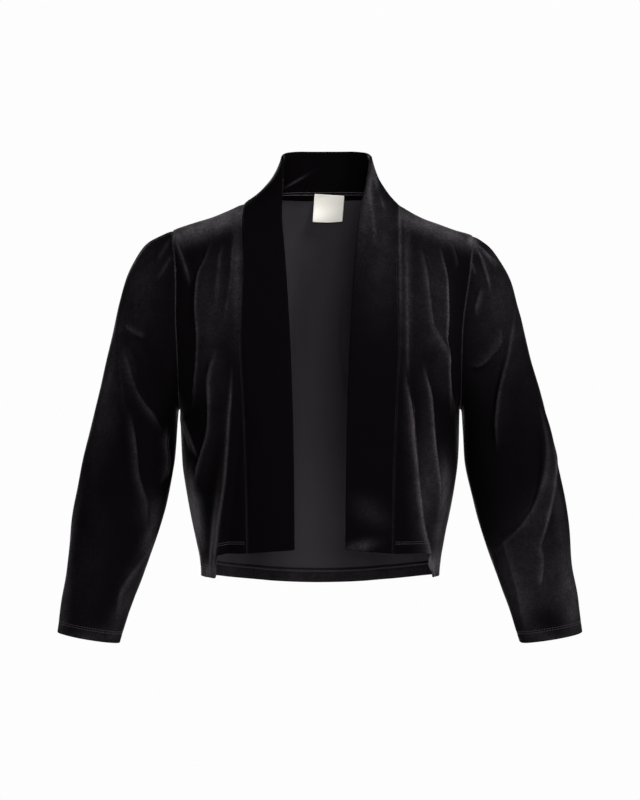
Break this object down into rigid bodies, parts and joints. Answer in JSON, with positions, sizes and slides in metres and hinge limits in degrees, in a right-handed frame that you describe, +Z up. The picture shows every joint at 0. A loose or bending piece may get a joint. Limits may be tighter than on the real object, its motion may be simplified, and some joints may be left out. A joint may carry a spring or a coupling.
{
  "type": "knit shrug",
  "caption": "Cropped open-front shrug in black stretch velvet, worn form and empty, with a wide stand-up band collar and gathered three-quarter sleeves.",
  "frame": {"origin": "midway between the shoulder seams, at the height of the shoulders where the wearer carries the garment", "axes": "+Z up, +X to the wearer's left, -Y to the front"},
  "size_m": [0.636, 0.2178, 0.602],
  "materials": {
    "velvet": "black stretch velvet pile on a grey knit back",
    "label": "plain woven satin, bare"
  },
  "bodies": {
    "root": {"back": "velvet", "front_left": "velvet", "front_right": "velvet", "sleeve_left": "velvet", "sleeve_right": "velvet", "band": "velvet", "neck_tape": "velvet", "neck_label": "label"}
  },
  "joints": []
}
